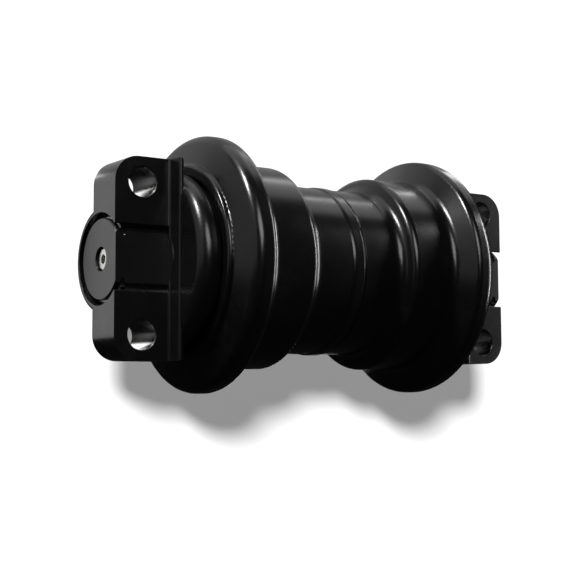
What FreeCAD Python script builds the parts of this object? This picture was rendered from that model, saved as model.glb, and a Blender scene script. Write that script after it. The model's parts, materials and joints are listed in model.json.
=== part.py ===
import FreeCAD, Part
import math
import os

# Bottom track roller with two flanges, bolted under a track frame by the collars at its ends.
# Frame: +Y along the spin axis, +Z out of the mounting faces, +X across each pair of bolts.
# The origin is on the spin axis at mid-length; the oil plug is at the -Y (left) end.
# Sizes are millimetres. "y" is the distance from mid-length and "r" the radius.

# Driving dimensions: shell
BARREL_R = 99.7
TREAD_R = 118.0
FLANGE_R = 146.0
SHELL_END = 182.0
SHOULDER_ANGLE = 75.0
SHOULDER_Y = 69.0
FLANK_ANGLE = 62.0
FLANK_Y = 128.5
OUTER_FACE_ANGLE = 73.0
OUTER_FACE_Y = 175.2
OUTER_FACE_R = 115.0
MOUTH_R = 97.0
MOUTH_CHAMFER = 4.0
END_RING_R = 112.5
CHAMBER_R = 70.0
CHAMBER_Y = 20.0
CHAMBER_ROUND = 3.0
SHOULDER_FOOT_ROUND = 14.0
SHOULDER_TOP_ROUND = 9.0
FLANK_FOOT_ROUND = 12.0
FLANGE_INNER_ROUND = 8.0
FLANGE_OUTER_ROUND = 13.0
END_RING_FOOT_ROUND = 2.0
END_RING_CREST_ROUND = 4.0

# Centre weld between the two shell halves
WELD_LEFT = 8.0
WELD_RIGHT = 8.0
WELD_CROWN = 1.4
WELD_ROOT_R = 84.0
WELD_ROOT_HALF = 1.5
WELD_GROOVE_WIDTH = 2.5
WELD_GROOVE_DEPTH = 1.5
WELD_TOE = 3.1
WELD_TOE_ROUND = 6.0
WELD_CREST_ROUND = 2.0

# Shaft
SHAFT_R = 45.0
SHAFT_END = 276.0
SHAFT_CHAMFER = 1.3
SHAFT_FLAT_Z = 35.6
THRUST_R = 58.0
THRUST_HALF = 12.0
OIL_BORE_R = 7.0
OIL_BORE_Y = 60.0
OIL_CROSS_R = 4.0

# Bushings, running on the shaft with a clearance and pressed into the shell
RUN_CLEARANCE = 0.05
THRUST_GAP = 0.4
BUSH_R = 53.0
BUSH_END = 118.0
BUSH_FLANGE_R = 64.0
BUSH_END_GAP = 4.0

# Collars
COLLAR_END = 278.0
LUG_HALF = 110.0
LUG_TOP = 37.4
LUG_BOTTOM = -19.0
LUG_INNER = 203.0
LUG_CORNER_R = 28.0
LIP_TOP = 54.0
LIP_FOOT = 212.0
LIP_CREST = 208.5
LIP_TOP_ROUND = 2.5
LIP_FOOT_ROUND = 3.0
LIP_ROOT = 8.0
LUG_INNER_ROUND = 4.0
LUG_BACK_ROUND = 5.0
BOSS_R = 58.0
BOSS_FOOT_ROUND = 4.0
BOSS_RIM_ROUND = 5.0
HUB_R = 100.0
HUB_FACE = 207.5
HUB_BACK = 187.5
HUB_ROUND = 14.0
NECK_R = 94.5
NECK_END = 166.5
SLOT_HALF = 30.5
SLOT_BEVEL = 6.0
COUNTERBORE_R = 50.8
COUNTERBORE_DEPTH = 14.0
BOLT_R = 16.5
BOLT_EDGE = 1.0
BOLT_X = 82.5
BOLT_Y = 245.0

# Face seals
SEAL_POCKET_MOUTH_R = 82.0
SEAL_POCKET_FLOOR_R = 79.0
SEAL_POCKET_DEPTH = 14.5
SHELL_STEP_Y = 165.0
SEAL_PLANE = 165.75
SEAL_RING_R = 72.0
SEAL_RING_BORE = 62.0
SEAL_RING_LENGTH = 11.0
SEAL_LIP_R = 76.5
SEAL_LIP_WIDTH = 3.0
SEAL_LAP_WIDTH = 12.5
SEAL_TAPER = 1.0
TORIC_WIRE_R = 4.0
TORIC_GAP = 0.1
TORIC_SETBACK = 2.5
SHAFT_BORE_GAP_R = 60.0

# Retaining rings, shaft O-rings and oil plug
WIRE_R = 3.2
WIRE_OPEN_ANGLE = 84.0
O_RING_R = 2.65
O_RING_Y = 196.0
O_RING_GROOVE_WIDTH = 6.6
PLUG_RECESS_R = 13.5
PLUG_RECESS_DEPTH = 7.0
PLUG_HEAD_R = 12.0
PLUG_HEAD_HEIGHT = 3.0
PLUG_WASHER_THICK = 1.0
PLUG_STEM_LENGTH = 14.0
PLUG_SOCKET_AF = 10.0
PLUG_SOCKET_DEPTH = 8.0

# Edge finishes shared by the parts
KEEN_EDGE = 0.5
BROKEN_EDGE = 1.0
TURNED_FILLET = 2.0
OVERCUT = 1.0

SPIN_AXIS = FreeCAD.Vector(0, 1, 0)
ORIGIN = FreeCAD.Vector(0, 0, 0)
UP = FreeCAD.Vector(0, 0, 1)


def tan_deg(angle):
    return math.tan(math.radians(angle))


def rounded_wire(corners, place):
    """Closed wire through (a, b, radius) corners, each rounded by its radius."""
    count = len(corners)
    cuts = []
    for i in range(count):
        here = place(corners[i][0], corners[i][1])
        before = place(*corners[i - 1][:2])
        after = place(*corners[(i + 1) % count][:2])
        to_before = (before - here).normalize()
        to_after = (after - here).normalize()
        radius = corners[i][2] if len(corners[i]) > 2 else 0
        if radius == 0:
            cuts.append((here, None, here))
            continue
        half = to_before.getAngle(to_after) / 2
        reach = radius / math.tan(half)
        middle = (to_before + to_after).normalize() * (radius / math.sin(half) - radius)
        cuts.append((here + to_before * reach, here + middle, here + to_after * reach))
    edges = []
    for i in range(count):
        start, middle, end = cuts[i]
        if middle is not None:
            edges.append(Part.Arc(start, middle, end).toShape())
        following = cuts[(i + 1) % count][0]
        if end.distanceToPoint(following) > 1e-6:
            edges.append(Part.LineSegment(end, following).toShape())
    return Part.Wire(edges)


def turned(corners):
    """Solid of revolution about the spin axis from (y, r, rounding) corners."""
    wire = rounded_wire(corners, lambda y, r: FreeCAD.Vector(r, y, 0))
    solid = Part.Face(wire).revolve(ORIGIN, SPIN_AXIS, 360)
    return solid if solid.Volume > 0 else solid.reversed()


def one_solid(shape, name):
    """The shape as one valid solid; a failed boolean or fillet stops the script here."""
    if len(shape.Solids) != 1 or not shape.isValid():
        raise ValueError("%s has %d solids, valid %s" % (name, len(shape.Solids), shape.isValid()))
    return shape.Solids[0]


def drum(radius, y_from, y_to):
    return Part.makeCylinder(radius, y_to - y_from, FreeCAD.Vector(0, y_from, 0), SPIN_AXIS)


def ring_of_wire(radius, wire_radius, y):
    return Part.makeTorus(radius, wire_radius, FreeCAD.Vector(0, y, 0), SPIN_AXIS)


def half_turn(shape):
    """The same part at the other end of the roller."""
    turned_shape = shape.copy()
    turned_shape.rotate(ORIGIN, UP, 180)
    return turned_shape


# ---------------------------------------------------------------- shell

def shell_outside():
    """Corners from the centre out to the end ring, for the +Y half."""
    rise = TREAD_R - BARREL_R
    flange_rise = FLANGE_R - TREAD_R
    tip_y = OUTER_FACE_Y - (FLANGE_R - OUTER_FACE_R) / tan_deg(OUTER_FACE_ANGLE)
    foot_y = OUTER_FACE_Y + (OUTER_FACE_R - END_RING_R) / tan_deg(OUTER_FACE_ANGLE)
    return [
        (SHOULDER_Y - rise / tan_deg(SHOULDER_ANGLE), BARREL_R, SHOULDER_FOOT_ROUND),
        (SHOULDER_Y, TREAD_R, SHOULDER_TOP_ROUND),
        (FLANK_Y, TREAD_R, FLANK_FOOT_ROUND),
        (FLANK_Y + flange_rise / tan_deg(FLANK_ANGLE), FLANGE_R, FLANGE_INNER_ROUND),
        (tip_y, FLANGE_R, FLANGE_OUTER_ROUND),
        (foot_y, END_RING_R, END_RING_FOOT_ROUND),
        (SHELL_END, END_RING_R, END_RING_CREST_ROUND),
    ]


def shell_inside():
    """Corners from the mouth back to the chamber at the centre, for the +Y half."""
    pocket_floor = SHELL_STEP_Y - SEAL_POCKET_DEPTH
    bush_stop = BUSH_END + BUSH_END_GAP
    return [
        (SHELL_END, MOUTH_R + MOUTH_CHAMFER),
        (SHELL_END - MOUTH_CHAMFER, MOUTH_R),
        (SHELL_STEP_Y, MOUTH_R, TURNED_FILLET),
        (SHELL_STEP_Y, SEAL_POCKET_MOUTH_R, BROKEN_EDGE),
        (pocket_floor, SEAL_POCKET_FLOOR_R, TURNED_FILLET),
        (pocket_floor, SHAFT_BORE_GAP_R, BROKEN_EDGE),
        (bush_stop, SHAFT_BORE_GAP_R, TURNED_FILLET),
        (bush_stop, BUSH_R),
        (CHAMBER_Y, BUSH_R),
        (CHAMBER_Y, CHAMBER_R, CHAMBER_ROUND),
        (0, CHAMBER_R),
    ]


def shell_half_right():
    groove_y = WELD_RIGHT + WELD_GROOVE_WIDTH
    groove_r = BARREL_R - WELD_GROOVE_DEPTH
    prep = [
        (0, WELD_ROOT_R),
        (WELD_ROOT_HALF, WELD_ROOT_R),
        (WELD_RIGHT, groove_r),
        (groove_y, groove_r, KEEN_EDGE),
        (groove_y, BARREL_R, KEEN_EDGE),
    ]
    return turned(prep + shell_outside() + shell_inside())


def shell_half_left():
    prep = [
        (0, WELD_ROOT_R),
        (WELD_ROOT_HALF, WELD_ROOT_R),
        (WELD_LEFT, BARREL_R),
    ]
    return half_turn(turned(prep + shell_outside() + shell_inside()))


def centre_weld():
    crown_r = BARREL_R + WELD_CROWN
    return turned([
        (-WELD_ROOT_HALF, WELD_ROOT_R),
        (-WELD_LEFT, BARREL_R),
        (-WELD_LEFT + WELD_TOE, crown_r, WELD_TOE_ROUND),
        (WELD_RIGHT, crown_r, WELD_CREST_ROUND),
        (WELD_RIGHT, BARREL_R - WELD_GROOVE_DEPTH),
        (WELD_ROOT_HALF, WELD_ROOT_R),
    ])


# ---------------------------------------------------------------- shaft

def wire_y():
    """Middle of the retaining wire, which bears on the counterbore's floor."""
    return COLLAR_END - COUNTERBORE_DEPTH + WIRE_R


def axle_shaft():
    end = SHAFT_END
    shaft = turned([
        (-end, 0),
        (-end, SHAFT_R - SHAFT_CHAMFER),
        (-end + SHAFT_CHAMFER, SHAFT_R),
        (-THRUST_HALF, SHAFT_R, TURNED_FILLET),
        (-THRUST_HALF, THRUST_R, BROKEN_EDGE),
        (THRUST_HALF, THRUST_R, BROKEN_EDGE),
        (THRUST_HALF, SHAFT_R, TURNED_FILLET),
        (end - SHAFT_CHAMFER, SHAFT_R),
        (end, SHAFT_R - SHAFT_CHAMFER),
        (end, 0),
    ])
    for side in (-1, 1):
        shaft = shaft.cut(ring_of_wire(SHAFT_R, WIRE_R, side * wire_y()))
        flat_length = end + OVERCUT - LIP_FOOT
        flat_from = min(side * LIP_FOOT, side * (end + OVERCUT))
        flat = Part.makeBox(2 * SHAFT_R, flat_length, SHAFT_R)
        flat.translate(FreeCAD.Vector(-SHAFT_R, flat_from, SHAFT_FLAT_Z))
        shaft = shaft.cut(flat)
    shaft = shaft.cut(drum(PLUG_RECESS_R, -end, -end + PLUG_RECESS_DEPTH))
    shaft = shaft.cut(drum(OIL_BORE_R, -end, -OIL_BORE_Y))
    cross_foot = FreeCAD.Vector(0, -OIL_BORE_Y - OIL_CROSS_R, 0)
    cross = Part.makeCylinder(OIL_CROSS_R, SHAFT_R + OVERCUT, cross_foot, UP)
    return shaft.cut(cross)


# ---------------------------------------------------------------- bushings

def bushing():
    bore = SHAFT_R + RUN_CLEARANCE
    face = THRUST_HALF + THRUST_GAP
    return turned([
        (face, bore, TURNED_FILLET),
        (face, BUSH_FLANGE_R, BROKEN_EDGE),
        (CHAMBER_Y, BUSH_FLANGE_R),
        (CHAMBER_Y, BUSH_R),
        (BUSH_END, BUSH_R, BROKEN_EDGE),
        (BUSH_END, bore, BROKEN_EDGE),
    ])


# ---------------------------------------------------------------- collars

def lug_prism(top):
    """The lugs' outline seen from above, from their underside up to the given height."""
    corners = [
        (-LUG_HALF, LUG_INNER, LUG_INNER_ROUND),
        (LUG_HALF, LUG_INNER, LUG_INNER_ROUND),
        (LUG_HALF, COLLAR_END, LUG_CORNER_R),
        (-LUG_HALF, COLLAR_END, LUG_CORNER_R),
    ]
    wire = rounded_wire(corners, lambda x, y: FreeCAD.Vector(x, y, LUG_BOTTOM))
    return Part.Face(wire).extrude(UP * (top - LUG_BOTTOM))


def lug_block():
    """Rounded block with the two bolt lugs, from the hub out to the end face."""
    block = lug_prism(LUG_TOP)
    back_edges = [
        edge for edge in block.Edges
        if edge.BoundBox.ZLength < 0.1 and abs(edge.BoundBox.ZMin - LUG_BOTTOM) < 0.1
        and edge.BoundBox.YMax > LIP_FOOT
    ]
    return one_solid(block.makeFillet(LUG_BACK_ROUND, back_edges), "lug block")


def lip():
    """Raised rail along the inner edge of the mounting face."""
    corners = [
        (LUG_INNER, LUG_BOTTOM),
        (LUG_INNER, LIP_TOP, LIP_TOP_ROUND),
        (LIP_CREST, LIP_TOP, LIP_TOP_ROUND),
        (LIP_FOOT, LUG_TOP, LIP_FOOT_ROUND),
        (LIP_FOOT + LIP_ROOT, LUG_TOP),
        (LIP_FOOT + LIP_ROOT, LUG_BOTTOM),
    ]
    wire = rounded_wire(corners, lambda y, z: FreeCAD.Vector(-LUG_HALF, y, z))
    rail = Part.Face(wire).extrude(FreeCAD.Vector(2 * LUG_HALF, 0, 0))
    return one_solid(rail.common(lug_prism(LIP_TOP)), "lip")


def hub_blank():
    """Boss, hub disc and neck around the shaft, with the seal pocket.

    The boss stops level with the mounting face, so that the face is flat right across.
    """
    counterbore_floor = COLLAR_END - COUNTERBORE_DEPTH
    pocket_floor = NECK_END + SEAL_POCKET_DEPTH
    hub = turned([
        (NECK_END, SEAL_POCKET_MOUTH_R, BROKEN_EDGE),
        (NECK_END, NECK_R, BROKEN_EDGE),
        (HUB_BACK, NECK_R, TURNED_FILLET),
        (HUB_BACK, HUB_R, BROKEN_EDGE),
        (HUB_FACE, HUB_R, HUB_ROUND),
        (HUB_FACE, BOSS_R, BOSS_FOOT_ROUND),
        (COLLAR_END, BOSS_R, BOSS_RIM_ROUND),
        (COLLAR_END, COUNTERBORE_R, KEEN_EDGE),
        (counterbore_floor, COUNTERBORE_R, BROKEN_EDGE),
        (counterbore_floor, SHAFT_R),
        (pocket_floor, SHAFT_R),
        (pocket_floor, SEAL_POCKET_FLOOR_R, TURNED_FILLET),
    ])
    above_face = Part.makeBox(2 * HUB_R, COLLAR_END - HUB_FACE + OVERCUT, HUB_R)
    above_face.translate(FreeCAD.Vector(-HUB_R, HUB_FACE, LUG_TOP))
    return hub.cut(above_face)


def slot_cut():
    """Bevelled slot in the mounting face that uncovers the flat on the shaft."""
    outer = SLOT_HALF + SLOT_BEVEL
    top = LUG_TOP + OVERCUT
    points = [
        (-SLOT_HALF, 0),
        (SLOT_HALF, 0),
        (SLOT_HALF, LUG_TOP - SLOT_BEVEL),
        (outer, LUG_TOP),
        (outer, top),
        (-outer, top),
        (-outer, LUG_TOP),
        (-SLOT_HALF, LUG_TOP - SLOT_BEVEL),
    ]
    slot_from = LIP_FOOT + OVERCUT
    wire = rounded_wire(points, lambda x, z: FreeCAD.Vector(x, slot_from, z))
    return Part.Face(wire).extrude(FreeCAD.Vector(0, COLLAR_END + OVERCUT - slot_from, 0))


def bolt_cut(x):
    """Clearance hole for one mounting bolt, with its edges broken."""
    hole_length = LUG_TOP - LUG_BOTTOM
    foot = FreeCAD.Vector(x, BOLT_Y, LUG_BOTTOM)
    top = FreeCAD.Vector(x, BOLT_Y, LUG_TOP)
    hole = Part.makeCylinder(BOLT_R, hole_length, foot, UP)
    flare_r = BOLT_R + 2 * BOLT_EDGE
    upper = Part.makeCone(BOLT_R, flare_r, 2 * BOLT_EDGE, top - UP * BOLT_EDGE, UP)
    lower = Part.makeCone(BOLT_R, flare_r, 2 * BOLT_EDGE, foot + UP * BOLT_EDGE, UP * -1)
    return hole.fuse(upper).fuse(lower)


def collar():
    """Collar with its lugs, lip and hub, bored for the shaft and drilled for the bolts."""
    shape = one_solid(lug_block().fuse(lip()).fuse(hub_blank()), "collar blank")
    shape = shape.cut(drum(SHAFT_R, HUB_BACK, COLLAR_END + OVERCUT))
    counterbore_floor = COLLAR_END - COUNTERBORE_DEPTH
    shape = shape.cut(drum(COUNTERBORE_R, counterbore_floor, COLLAR_END + OVERCUT))
    shape = shape.cut(slot_cut())
    for x in (-BOLT_X, BOLT_X):
        shape = shape.cut(bolt_cut(x))
    groove_from = O_RING_Y - O_RING_GROOVE_WIDTH / 2
    groove = drum(SHAFT_R + 2 * O_RING_R, groove_from, groove_from + O_RING_GROOVE_WIDTH)
    return one_solid(shape.cut(groove).removeSplitter(), "collar")


# ---------------------------------------------------------------- seals and small parts

def seal_ring(direction):
    """Metal face-seal ring whose lapped lip is at the seal plane."""
    def at(distance):
        return SEAL_PLANE + direction * distance
    return turned([
        (at(0), SEAL_LIP_R - SEAL_LAP_WIDTH, KEEN_EDGE),
        (at(0), SEAL_LIP_R, KEEN_EDGE),
        (at(SEAL_LIP_WIDTH), SEAL_LIP_R, KEEN_EDGE),
        (at(SEAL_LIP_WIDTH + SEAL_TAPER), SEAL_RING_R, TURNED_FILLET),
        (at(SEAL_RING_LENGTH), SEAL_RING_R - SEAL_TAPER, BROKEN_EDGE),
        (at(SEAL_RING_LENGTH), SEAL_RING_BORE, BROKEN_EDGE),
    ])


def toric_ring(direction):
    """Rubber load ring between a metal seal ring and its pocket."""
    y = SEAL_PLANE + direction * (SEAL_RING_LENGTH - TORIC_SETBACK)
    return ring_of_wire(SEAL_RING_R + TORIC_WIRE_R + TORIC_GAP, TORIC_WIRE_R, y)


def retaining_ring():
    """Round-wire ring, open over the flat on the shaft."""
    path_start = 90 + WIRE_OPEN_ANGLE / 2
    sweep = 360 - WIRE_OPEN_ANGLE
    angle = math.radians(path_start)
    centre = FreeCAD.Vector(SHAFT_R * math.cos(angle), wire_y(), SHAFT_R * math.sin(angle))
    tangent = FreeCAD.Vector(-math.sin(angle), 0, math.cos(angle))
    section = Part.Face(Part.Wire(Part.makeCircle(WIRE_R, centre, tangent)))
    return section.revolve(FreeCAD.Vector(0, wire_y(), 0), SPIN_AXIS * -1, sweep)


def shaft_o_ring():
    return ring_of_wire(SHAFT_R + O_RING_R, O_RING_R, O_RING_Y)


def plug_seat():
    return -SHAFT_END + PLUG_RECESS_DEPTH


def plug_washer():
    ring = drum(PLUG_HEAD_R, plug_seat() - PLUG_WASHER_THICK, plug_seat())
    hole = drum(OIL_BORE_R, plug_seat() - PLUG_WASHER_THICK - OVERCUT, plug_seat() + OVERCUT)
    return ring.cut(hole)


def oil_plug():
    """Screw-in oil plug with a hexagon socket in its head."""
    head_from = plug_seat() - PLUG_WASHER_THICK - PLUG_HEAD_HEIGHT
    head_to = head_from + PLUG_HEAD_HEIGHT
    stem_to = head_to + PLUG_STEM_LENGTH
    plug = turned([
        (head_from, 0),
        (head_from, PLUG_HEAD_R, BROKEN_EDGE),
        (head_to, PLUG_HEAD_R),
        (head_to, OIL_BORE_R),
        (stem_to, OIL_BORE_R, BROKEN_EDGE),
        (stem_to, 0),
    ])
    corner_r = PLUG_SOCKET_AF / 2 / math.cos(math.radians(30))
    points = []
    for i in range(7):
        angle = math.radians(60 * i)
        x = corner_r * math.cos(angle)
        z = corner_r * math.sin(angle)
        points.append(FreeCAD.Vector(x, head_from, z))
    socket = Part.Face(Part.makePolygon(points)).extrude(SPIN_AXIS * PLUG_SOCKET_DEPTH)
    return plug.cut(socket)


# ---------------------------------------------------------------- all nodes

def build_nodes():
    """Every piece of the roller by node name."""
    nodes = {
        "shell_half_left": shell_half_left(),
        "shell_half_right": shell_half_right(),
        "centre_weld": centre_weld(),
        "axle_shaft": axle_shaft(),
        "oil_plug": oil_plug(),
        "plug_washer": plug_washer(),
    }
    pairs = {
        "bushing": bushing(),
        "collar": collar(),
        "seal_ring_rotating": seal_ring(-1),
        "seal_ring_fixed": seal_ring(1),
        "toric_ring_rotating": toric_ring(-1),
        "toric_ring_fixed": toric_ring(1),
        "retaining_ring": retaining_ring(),
        "shaft_o_ring": shaft_o_ring(),
    }
    for name, right in pairs.items():
        nodes[name + "_right"] = right
        nodes[name + "_left"] = half_turn(right)
    return nodes


os.makedirs("parts", exist_ok=True)
for node, shape in build_nodes().items():
    solid = one_solid(shape, node)
    solid.exportStep("parts/%s.step" % node)
    print("%-28s %8.1f cm3" % (node, solid.Volume / 1000))
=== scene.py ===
import json
import math

import bpy
from mathutils import Matrix, Vector


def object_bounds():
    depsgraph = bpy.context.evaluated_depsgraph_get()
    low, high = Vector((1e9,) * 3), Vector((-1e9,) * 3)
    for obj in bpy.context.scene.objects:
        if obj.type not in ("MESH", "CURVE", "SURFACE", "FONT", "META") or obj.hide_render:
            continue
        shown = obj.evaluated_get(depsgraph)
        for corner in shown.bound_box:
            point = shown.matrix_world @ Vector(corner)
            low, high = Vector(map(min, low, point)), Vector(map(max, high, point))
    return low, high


# Bottom track roller: black paint over forged and cast steel, on a plain pale floor.
# The axes are the CAD's: +Y along the spin axis, +Z out of the mounting faces, in metres.

# Camera, for an image of 580 x 580.
IMAGE_SIZE = 580
SENSOR_MM = 36.0
FOCAL_PX = 1270.6
CENTRE_X_PX = 309.7
CENTRE_Y_PX = 271.5
CAMERA_AT = Vector((0.14206, -0.87475, 1.25034))
CAMERA_ROLL_DEG = -0.29
CAMERA_UP = Vector((-1, 0, 0))
CLIP_START = 0.05
CLIP_END = 50.0

# Softboxes round the roller: direction from it, width and height in metres, power in watts.
SOFTBOX_DISTANCE = 2.0
SOFTBOXES = {
    "key": ((-0.75, -0.64, 0.15), (0.5, 0.26), 32.0),
    "front": ((-0.35, -0.93, 0.0), (1.5, 2.4), 4.5),
    "top": ((-0.44, -0.26, 0.86), (0.9, 0.9), 13.0),
    "side": ((-0.95, 0.20, -0.42), (3.6, 2.6), 28.0),
    "limb": ((-0.58, -0.10, -0.81), (1.1, 0.9), 26.0),
    "back": ((-0.66, 0.60, -0.45), (0.9, 0.9), 9.0),
    "rim": ((-0.22, 0.89, 0.38), (1.8, 0.26), 26.0),
}
FLOOR_SUN_FROM = (-0.34, -0.70, 1.0)
FLOOR_SUN_STRENGTH = 3.7
FLOOR_SUN_ANGLE_DEG = 9.0
FLOOR_FILL_FROM = (0, 0, 1)
FLOOR_FILL_STRENGTH = 0.95
WORLD_STRENGTH = 0.012

# Floor below the flanges. Its grey drifts up to FLOOR_LIGHTEST times itself.
FLOOR_GAP = 0.004
FLOOR_HALF = 7.0
FLOOR_GREY = 0.90
FLOOR_LIGHTEST = 1.03

# Cards just below the floor, that stand for it in the paint's reflections:
# x from, x to, y from, y to, and grey.
CARD_GAP = 0.0005
CARDS = {
    "floor_card_side": ((-0.55, -0.155, -0.50, 0.46), 0.26),
    "floor_card_end": ((-0.155, 0.10, -0.46, -0.325), 0.93),
    "floor_card_far": ((-0.14, 0.14, 0.10, 0.28), 0.90),
}

# Where the finish changes: the round walls of the bolt holes, and the shaft inside the shell.
BOLT_X = 0.0825
BOLT_Y = 0.245
BOLT_WALL_R = 0.0169
BOLT_WALL_BLEND = 0.0003
PAINTED_FROM_Y = 0.188
BARE_UP_TO_Y = 0.182

# Bands of a noise's value that are stretched to a full range.
COLOR_BAND = (0.3, 0.7)
GLOSS_BAND = (0.2, 0.8)
METAL_GLOSS_BAND = (0.25, 0.75)
DUST_BAND = (0.52, 0.78)
SPECK_BAND = (0.70, 0.76)
PAINT_WEAR_BAND = (0.42, 0.66)
SHAFT_WEAR_BAND = (0.45, 0.65)

# Noise patterns. Scales are per metre.
PAINT_MOTTLE = dict(scale=9.0, detail=5.0)
PAINT_GLOSS = dict(scale=22.0, detail=5.0, roughness=0.6)
PAINT_WEAR = dict(scale=60.0, detail=6.0, roughness=0.7)
DUST = dict(scale=38.0, detail=6.0, roughness=0.7)
SPECKS = dict(scale=900.0, detail=1.0)
WELD_MOTTLE = dict(scale=14.0, detail=4.0)
SHAFT_MOTTLE = dict(scale=16.0, detail=5.0)
SHAFT_WEAR = dict(scale=80.0, detail=5.0, roughness=0.7)
METAL_DRIFT = dict(scale=45.0, detail=5.0)
RUBBER_DRIFT = dict(scale=60.0, detail=5.0)
WIRE_DRIFT = dict(scale=70.0, detail=4.0)
FLOOR_DRIFT = dict(scale=2.0, detail=3.0)

# Relief: a noise pattern with its depth in metres and the strength of its bump.
TURNED = (3.0, 1500.0, 3.0)
TURNED_COARSE = (3.0, 1200.0, 3.0)
LENGTHWISE = (900.0, 3.0, 900.0)
LINES = dict(scale=1.0, detail=2.0, roughness=0.5)
PEEL = dict(scale=420.0, depth=0.00006, strength=0.5)
BODY_PEEL = dict(**PEEL, detail=3.0)
CAST_GRAIN = dict(scale=70.0, depth=0.00025)
PAINTED_MARKS = dict(**LINES, stretch=TURNED, depth=0.00004)
WELD_WOBBLE = dict(scale=30.0, detail=3.0, depth=0.0003, strength=0.12)
SHAFT_GRAIN = dict(scale=90.0, depth=0.0002, strength=0.3)
SHAFT_LINES = dict(**LINES, stretch=LENGTHWISE, depth=0.00002, strength=0.2)
METAL_LINES = dict(**LINES, depth=0.00003)
METAL_GRAIN = dict(scale=600.0, depth=0.00003, strength=0.3)
RUBBER_SKIN = dict(scale=700.0, depth=0.00006, strength=0.6)
RUBBER_GRAIN = dict(scale=120.0, depth=0.0002, strength=0.3)
WIRE_SKIN = dict(scale=500.0, depth=0.00003, strength=0.4)
WIRE_GRAIN = dict(scale=160.0, depth=0.0001, strength=0.3)
FLOOR_GRAIN = dict(scale=60.0, depth=0.0002, strength=0.1)

# Ripples round the weld bead.
WELD_RIPPLES = 150.0
RIPPLE_DEPTH = 0.00003
RIPPLE_STRENGTH = 0.1

# Edges: how far the bevelled normal has to turn, as a dot product, from no edge to a full one.
EDGE_SAMPLES = 6
EDGE_BAND = (0.999, 0.94)
PAINT_EDGE_R = 0.0016
SHAFT_EDGE_R = 0.001
METAL_EDGE_R = 0.0006

# Colours, and how much of each lies over the one below.
MOTTLE_DARK = 0.72
MOTTLE_LIGHT = 1.35
DUST_COLOR = (0.05, 0.047, 0.043)
DUST_COVER = 0.06
PAINT_WORN_COLOR = (0.08, 0.08, 0.085)
PAINT_WORN_COVER = 0.12
SPECK_COLOR = (0.06, 0.058, 0.055)
SPECK_COVER = 0.18
HOLE_METAL = (0.14, 0.14, 0.137)
WELD_COLORS = (0.003, 0.003, 0.0032), (0.005, 0.005, 0.0053)
SHAFT_PAINT_COLORS = (0.004, 0.004, 0.0042), (0.007, 0.007, 0.0073)
SHAFT_WORN_COLOR = (0.10, 0.10, 0.105)
SHAFT_WORN_COVER = 0.2
GROUND_STEEL = (0.52, 0.52, 0.51)
METAL_WORN_GAIN = 1.3
METAL_WORN_COVER = 0.3
RUBBER_COLORS = (0.010, 0.010, 0.010), (0.024, 0.023, 0.022)
WIRE_COLORS = (0.26, 0.26, 0.26), (0.38, 0.38, 0.37)

# Roughness ranges, and refractive indices.
GLOSSIER = 0.02
DULLER = 0.03
DUST_DULLS = 0.03
WELD_ROUGHNESS = (0.2, 0.26)
SHAFT_ROUGHNESS = (0.26, 0.32)
RUBBER_ROUGHNESS = (0.55, 0.75)
WIRE_ROUGHNESS = (0.22, 0.34)
FLOOR_ROUGHNESS = (0.9, 0.96)
PAINT_IOR = 1.5
RUBBER_IOR = 1.52
FLOOR_IOR = 1.3

# Sockets of a Mix node that mixes colours.
MIX_A = 6
MIX_B = 7
MIX_RESULT = 2

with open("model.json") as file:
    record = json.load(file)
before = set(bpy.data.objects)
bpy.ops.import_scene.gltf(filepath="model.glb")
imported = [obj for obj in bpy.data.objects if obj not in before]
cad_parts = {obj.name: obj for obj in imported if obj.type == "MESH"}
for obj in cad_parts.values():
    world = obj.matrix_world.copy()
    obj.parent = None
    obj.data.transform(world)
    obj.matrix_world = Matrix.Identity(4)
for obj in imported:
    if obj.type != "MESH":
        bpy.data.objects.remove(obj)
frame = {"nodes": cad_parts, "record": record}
cad_low, cad_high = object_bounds()


# ---------------------------------------------------------------- material building blocks

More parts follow.
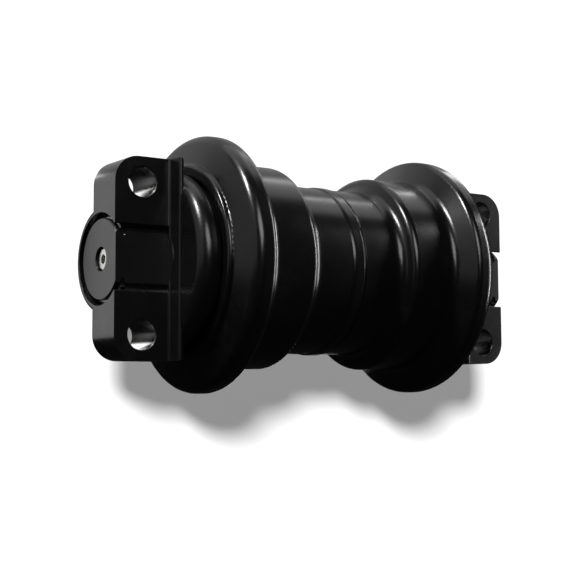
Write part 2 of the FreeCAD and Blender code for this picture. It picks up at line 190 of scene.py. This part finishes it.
class Maker:
    """Node-based material with short calls for the nodes used here."""

    def __init__(self, name):
        self.material = bpy.data.materials.new(name)
        self.material.use_nodes = True
        self.tree = self.material.node_tree
        self.shader = self.tree.nodes["Principled BSDF"]
        self.place = self.add("ShaderNodeTexCoord").outputs["Object"]

    def add(self, kind, **settings):
        node = self.tree.nodes.new(kind)
        for key, value in settings.items():
            setattr(node, key, value)
        return node

    def link(self, source, target):
        self.tree.links.new(source, target)

    def coordinates(self):
        """X, Y and Z of the place on the surface."""
        split = self.add("ShaderNodeSeparateXYZ")
        self.link(self.place, split.inputs[0])
        return split.outputs["X"], split.outputs["Y"], split.outputs["Z"]

    def noise(self, scale, detail=4.0, roughness=0.55, stretch=None):
        """Noise from 0 to 1, with its scale multiplied along X, Y and Z if stretch is given."""
        node = self.add("ShaderNodeTexNoise")
        node.inputs["Scale"].default_value = scale
        node.inputs["Detail"].default_value = detail
        node.inputs["Roughness"].default_value = roughness
        source = self.place
        if stretch is not None:
            mapping = self.add("ShaderNodeMapping")
            mapping.inputs["Scale"].default_value = stretch
            self.link(self.place, mapping.inputs["Vector"])
            source = mapping.outputs["Vector"]
        self.link(source, node.inputs["Vector"])
        return node.outputs["Fac"]

    def ramp(self, value, band, result=(0.0, 1.0)):
        """Stretches a band of a value to the result's range, and holds it beyond the band."""
        node = self.add("ShaderNodeMapRange")
        ends = ("From Min", "From Max", "To Min", "To Max")
        for end, number in zip(ends, (*band, *result)):
            node.inputs[end].default_value = number
        self.link(value, node.inputs["Value"])
        return node.outputs["Result"]

    def math(self, operation, *values):
        node = self.add("ShaderNodeMath", operation=operation)
        for socket, value in zip(node.inputs, values):
            if isinstance(value, (int, float)):
                socket.default_value = value
            else:
                self.link(value, socket)
        return node.outputs[0]

    def mix(self, factor, a, b):
        """Colour a where the factor is 0 and b where it is 1."""
        node = self.add("ShaderNodeMix", data_type="RGBA")
        self.link(factor, node.inputs["Factor"])
        for socket, value in ((node.inputs[MIX_A], a), (node.inputs[MIX_B], b)):
            if isinstance(value, tuple):
                socket.default_value = (*value, 1.0)
            else:
                self.link(value, socket)
        return node.outputs[MIX_RESULT]

    def drift(self, noise, dark, light):
        """Colour that wanders between dark and light with the noise."""
        return self.mix(self.ramp(noise, COLOR_BAND), dark, light)

    def cover(self, color, mask, amount, top):
        """Lays a top colour over another one, where the mask says, by an amount."""
        return self.mix(self.math("MULTIPLY", mask, amount), color, top)

    def edges(self, radius):
        """1 along sharp edges, outer and inner ones alike, and 0 on flats."""
        bevel = self.add("ShaderNodeBevel", samples=EDGE_SAMPLES)
        bevel.inputs["Radius"].default_value = radius
        normal = self.add("ShaderNodeNewGeometry").outputs["Normal"]
        dot = self.add("ShaderNodeVectorMath", operation="DOT_PRODUCT")
        self.link(bevel.outputs["Normal"], dot.inputs[0])
        self.link(normal, dot.inputs[1])
        return self.ramp(dot.outputs["Value"], EDGE_BAND)

    def worn_edges(self, radius, pattern, band):
        """Edges, broken up by a noise pattern."""
        return self.math("MULTIPLY", self.edges(radius), self.ramp(self.noise(**pattern), band))

    def relief(self, depth, strength, **pattern):
        """Layer for bump() made of a noise pattern."""
        return self.noise(**pattern), depth, strength

    def bump(self, *layers):
        """Stacks (height, depth, strength) layers into one normal."""
        normal = None
        for height, depth, strength in layers:
            node = self.add("ShaderNodeBump")
            node.inputs["Distance"].default_value = depth
            node.inputs["Strength"].default_value = strength
            self.link(height, node.inputs["Height"])
            if normal is not None:
                self.link(normal, node.inputs["Normal"])
            normal = node.outputs["Normal"]
        self.link(normal, self.shader.inputs["Normal"])

    def finish(self, color, roughness, **fixed):
        self.link(color, self.shader.inputs["Base Color"])
        self.link(roughness, self.shader.inputs["Roughness"])
        for key, value in fixed.items():
            self.shader.inputs[key].default_value = value
        return self.material


def in_bolt_hole(m):
    """1 on the walls of the bolt holes and 0 on the rest of a collar."""
    x, y, _ = m.coordinates()
    across = m.math("SUBTRACT", m.math("ABSOLUTE", x), BOLT_X)
    along = m.math("SUBTRACT", m.math("ABSOLUTE", y), BOLT_Y)
    squares = m.math("MULTIPLY", across, across), m.math("MULTIPLY", along, along)
    radius = m.math("SQRT", m.math("ADD", *squares))
    return m.ramp(radius, (BOLT_WALL_R + BOLT_WALL_BLEND, BOLT_WALL_R))


def inside_shell(m):
    """1 on the shaft between its painted ends, and 0 on those ends."""
    _, y, _ = m.coordinates()
    return m.ramp(m.math("ABSOLUTE", y), (PAINTED_FROM_Y, BARE_UP_TO_Y))


# ---------------------------------------------------------------- materials

def black_paint(name, base, roughness, grain, turned, machined_holes=False):
    """Satin black paint with orange peel, dust, specks and thin wear on edges.

    The strengths of the cast grain and of the turning marks under the paint are given, and the
    bolt holes are bare metal if they are machined.
    """
    m = Maker(name)
    dust = m.ramp(m.noise(**DUST), DUST_BAND)
    specks = m.ramp(m.noise(**SPECKS), SPECK_BAND)
    worn = m.worn_edges(PAINT_EDGE_R, PAINT_WEAR, PAINT_WEAR_BAND)
    dark = tuple(c * MOTTLE_DARK for c in base)
    light = tuple(c * MOTTLE_LIGHT for c in base)
    color = m.drift(m.noise(**PAINT_MOTTLE), dark, light)
    color = m.cover(color, dust, DUST_COVER, DUST_COLOR)
    color = m.cover(color, worn, PAINT_WORN_COVER, PAINT_WORN_COLOR)
    color = m.cover(color, specks, SPECK_COVER, SPECK_COLOR)
    swing = (roughness - GLOSSIER, roughness + DULLER)
    gloss = m.ramp(m.noise(**PAINT_GLOSS), COLOR_BAND, swing)
    gloss = m.math("ADD", gloss, m.math("MULTIPLY", dust, DUST_DULLS))
    layers = [m.relief(**BODY_PEEL), m.relief(**CAST_GRAIN, strength=grain)]
    if turned:
        layers.append(m.relief(**PAINTED_MARKS, strength=turned))
    m.bump(*layers)
    if machined_holes:
        hole = in_bolt_hole(m)
        color = m.mix(hole, color, HOLE_METAL)
        m.link(hole, m.shader.inputs["Metallic"])
    return m.finish(color, gloss, IOR=PAINT_IOR)


def weld_paint():
    """Paint over the weld bead, whose ripples run round the barrel."""
    m = Maker("weld_paint")
    x, _, z = m.coordinates()
    angle = m.math("ARCTAN2", x, z)
    ripple = m.math("SINE", m.math("MULTIPLY", angle, WELD_RIPPLES))
    mottle = m.noise(**WELD_MOTTLE)
    color = m.drift(mottle, *WELD_COLORS)
    m.bump((ripple, RIPPLE_DEPTH, RIPPLE_STRENGTH), m.relief(**WELD_WOBBLE), m.relief(**PEEL))
    gloss = m.ramp(mottle, GLOSS_BAND, WELD_ROUGHNESS)
    return m.finish(color, gloss, Metallic=0.0, IOR=PAINT_IOR)


def shaft_steel():
    """Painted shaft ends; ground bearing steel where the bushings run."""
    m = Maker("shaft_steel")
    inside = inside_shell(m)
    mottle = m.noise(**SHAFT_MOTTLE)
    worn = m.worn_edges(SHAFT_EDGE_R, SHAFT_WEAR, SHAFT_WEAR_BAND)
    paint = m.drift(mottle, *SHAFT_PAINT_COLORS)
    paint = m.cover(paint, worn, SHAFT_WORN_COVER, SHAFT_WORN_COLOR)
    color = m.mix(inside, paint, GROUND_STEEL)
    m.bump(m.relief(**PEEL), m.relief(**SHAFT_GRAIN), m.relief(**SHAFT_LINES))
    m.link(inside, m.shader.inputs["Metallic"])
    return m.finish(color, m.ramp(mottle, GLOSS_BAND, SHAFT_ROUGHNESS), IOR=PAINT_IOR)


def metal(name, dark, light, roughness, marks, strength):
    """Bare or plated metal with colour drift, machining marks and varied gloss."""
    m = Maker(name)
    noise = m.noise(**METAL_DRIFT)
    color = m.drift(noise, dark, light)
    worn_color = tuple(min(1.0, c * METAL_WORN_GAIN) for c in light)
    color = m.cover(color, m.edges(METAL_EDGE_R), METAL_WORN_COVER, worn_color)
    lines = m.relief(**METAL_LINES, stretch=marks, strength=strength)
    m.bump(lines, m.relief(**METAL_GRAIN))
    return m.finish(color, m.ramp(noise, METAL_GLOSS_BAND, roughness), Metallic=1.0)


def seal_rubber():
    m = Maker("seal_rubber")
    noise = m.noise(**RUBBER_DRIFT)
    m.bump(m.relief(**RUBBER_SKIN), m.relief(**RUBBER_GRAIN))
    gloss = m.ramp(noise, GLOSS_BAND, RUBBER_ROUGHNESS)
    return m.finish(m.drift(noise, *RUBBER_COLORS), gloss, Metallic=0.0, IOR=RUBBER_IOR)


def wire_metal():
    """Bright finish of the retaining wires, in the slot named wire_paint."""
    m = Maker("wire_paint")
    noise = m.noise(**WIRE_DRIFT)
    m.bump(m.relief(**WIRE_SKIN), m.relief(**WIRE_GRAIN))
    gloss = m.ramp(noise, GLOSS_BAND, WIRE_ROUGHNESS)
    return m.finish(m.drift(noise, *WIRE_COLORS), gloss, Metallic=1.0)


MATERIALS = {
    "shell_paint": black_paint(
        "shell_paint", base=(0.003, 0.003, 0.0032), roughness=0.22, grain=0.06, turned=0.05,
    ),
    "collar_paint": black_paint(
        "collar_paint", base=(0.004, 0.004, 0.0042), roughness=0.25, grain=0.1, turned=0.0,
        machined_holes=True,
    ),
    "shaft_steel": shaft_steel(),
    "wire_paint": wire_metal(),
    "zinc_plug": metal(
        "zinc_plug", dark=(0.50, 0.50, 0.48), light=(0.72, 0.72, 0.70),
        roughness=(0.20, 0.34), marks=LENGTHWISE, strength=0.25,
    ),
    "copper_washer": metal(
        "copper_washer", dark=(0.45, 0.20, 0.11), light=(0.66, 0.34, 0.21),
        roughness=(0.25, 0.40), marks=LENGTHWISE, strength=0.2,
    ),
    "bronze_bush": metal(
        "bronze_bush", dark=(0.34, 0.22, 0.09), light=(0.55, 0.38, 0.18),
        roughness=(0.25, 0.38), marks=TURNED_COARSE, strength=0.3,
    ),
    "seal_iron": metal(
        "seal_iron", dark=(0.22, 0.22, 0.23), light=(0.36, 0.36, 0.37),
        roughness=(0.14, 0.26), marks=TURNED_COARSE, strength=0.2,
    ),
    "seal_rubber": seal_rubber(),
}
WELD = weld_paint()

for row in frame["record"]["subparts"]:
    node = frame["nodes"][row["node"]]
    finish = WELD if row["node"] == "centre_weld" else MATERIALS[row["material_slot"]]
    node.data.materials.clear()
    node.data.materials.append(finish)


# ---------------------------------------------------------------- floor, lights, camera

def flat_sheet(name, x_from, x_to, y_from, y_to, z, grey):
    """Level rectangle of a floor, that is part of the stage."""
    mesh = bpy.data.meshes.new(name)
    corners = [(x_from, y_from, z), (x_to, y_from, z), (x_to, y_to, z), (x_from, y_to, z)]
    mesh.from_pydata(corners, [], [(0, 1, 2, 3)])
    mesh.materials.append(floor_material(name, grey))
    sheet = bpy.data.objects.new(name, mesh)
    bpy.context.scene.collection.objects.link(sheet)
    return sheet


def floor_material(name, grey):
    """Matt and pale, with a faint mottle."""
    m = Maker(name)
    noise = m.noise(**FLOOR_DRIFT)
    color = m.drift(noise, (grey,) * 3, (grey * FLOOR_LIGHTEST,) * 3)
    m.bump(m.relief(**FLOOR_GRAIN))
    gloss = m.ramp(noise, COLOR_BAND, FLOOR_ROUGHNESS)
    return m.finish(color, gloss, Metallic=0.0, IOR=FLOOR_IOR)


def make_floor():
    """Pale floor just below the flanges, and the parts of it that the paint reflects.

    The wide floor shows to the camera only. The paint sees a dim card along the -X side, a pale
    one beyond the plugged end and a pale one under the far end. All round them it sees black.
    """
    z = cad_low.z - FLOOR_GAP
    floor = flat_sheet("floor", -FLOOR_HALF, FLOOR_HALF, -FLOOR_HALF, FLOOR_HALF, z, FLOOR_GREY)
    floor.visible_glossy = False
    floor.visible_diffuse = False
    floor.visible_shadow = False
    sheets = [floor]
    for name, (outline, grey) in CARDS.items():
        card = flat_sheet(name, *outline, z - CARD_GAP, grey)
        card.visible_camera = False
        card.visible_shadow = False
        sheets.append(card)
    return sheets


def aimed_light(name, kind, direction, power, only_on):
    """Light of a kind that shines from a direction and lights one collection only."""
    data = bpy.data.lights.new(name, kind)
    data.energy = power
    light = bpy.data.objects.new(name, data)
    light.rotation_mode = "QUATERNION"
    light.rotation_quaternion = (-Vector(direction)).to_track_quat("-Z", "Y")
    bpy.context.scene.collection.objects.link(light)
    light.light_linking.receiver_collection = only_on
    return light


def softbox(name, direction, size, power, only_on):
    """Rectangular softbox aimed at the middle of the roller."""
    direction = Vector(direction).normalized()
    light = aimed_light(name, "AREA", direction, power, only_on)
    light.data.shape = "RECTANGLE"
    light.data.size, light.data.size_y = size
    light.location = direction * SOFTBOX_DISTANCE


def collection_of(name, objects):
    group = bpy.data.collections.new(name)
    for item in objects:
        group.objects.link(item)
    return group


def make_lights(floor_sheets):
    """Softboxes for the roller, and suns for the floor alone, to keep it white round a shadow."""
    roller = collection_of("roller_lit", frame["nodes"].values())
    floor = collection_of("floor_lit", floor_sheets)
    for name, (direction, size, power) in SOFTBOXES.items():
        softbox(name, direction, size, power, roller)
    sun = aimed_light("floor_sun", "SUN", FLOOR_SUN_FROM, FLOOR_SUN_STRENGTH, floor)
    sun.data.angle = math.radians(FLOOR_SUN_ANGLE_DEG)
    fill = aimed_light("floor_fill", "SUN", FLOOR_FILL_FROM, FLOOR_FILL_STRENGTH, floor)
    fill.data.use_shadow = False
    world = bpy.data.worlds.new("studio")
    world.use_nodes = True
    background = world.node_tree.nodes["Background"]
    background.inputs["Color"].default_value = (1.0, 1.0, 1.0, 1.0)
    background.inputs["Strength"].default_value = WORLD_STRENGTH
    bpy.context.scene.world = world


def make_camera():
    """Camera aimed at the middle of the roller, from above its plugged end."""
    data = bpy.data.cameras.new("camera")
    data.sensor_width = SENSOR_MM
    data.lens = FOCAL_PX * SENSOR_MM / IMAGE_SIZE
    data.shift_x = (IMAGE_SIZE / 2 - CENTRE_X_PX) / IMAGE_SIZE
    data.shift_y = (CENTRE_Y_PX - IMAGE_SIZE / 2) / IMAGE_SIZE
    data.clip_start = CLIP_START
    data.clip_end = CLIP_END
    forward = (-CAMERA_AT).normalized()
    right = forward.cross(CAMERA_UP).normalized()
    up = right.cross(forward)
    roll = math.radians(CAMERA_ROLL_DEG)
    rolled_right = math.cos(roll) * right + math.sin(roll) * up
    rolled_up = -math.sin(roll) * right + math.cos(roll) * up
    axes = Matrix((rolled_right, rolled_up, -forward)).transposed()
    camera = bpy.data.objects.new("camera", data)
    camera.matrix_world = Matrix.Translation(CAMERA_AT) @ axes.to_4x4()
    bpy.context.scene.collection.objects.link(camera)
    bpy.context.scene.camera = camera


make_lights(make_floor())
make_camera()
bpy.context.scene.view_settings.view_transform = "Standard"
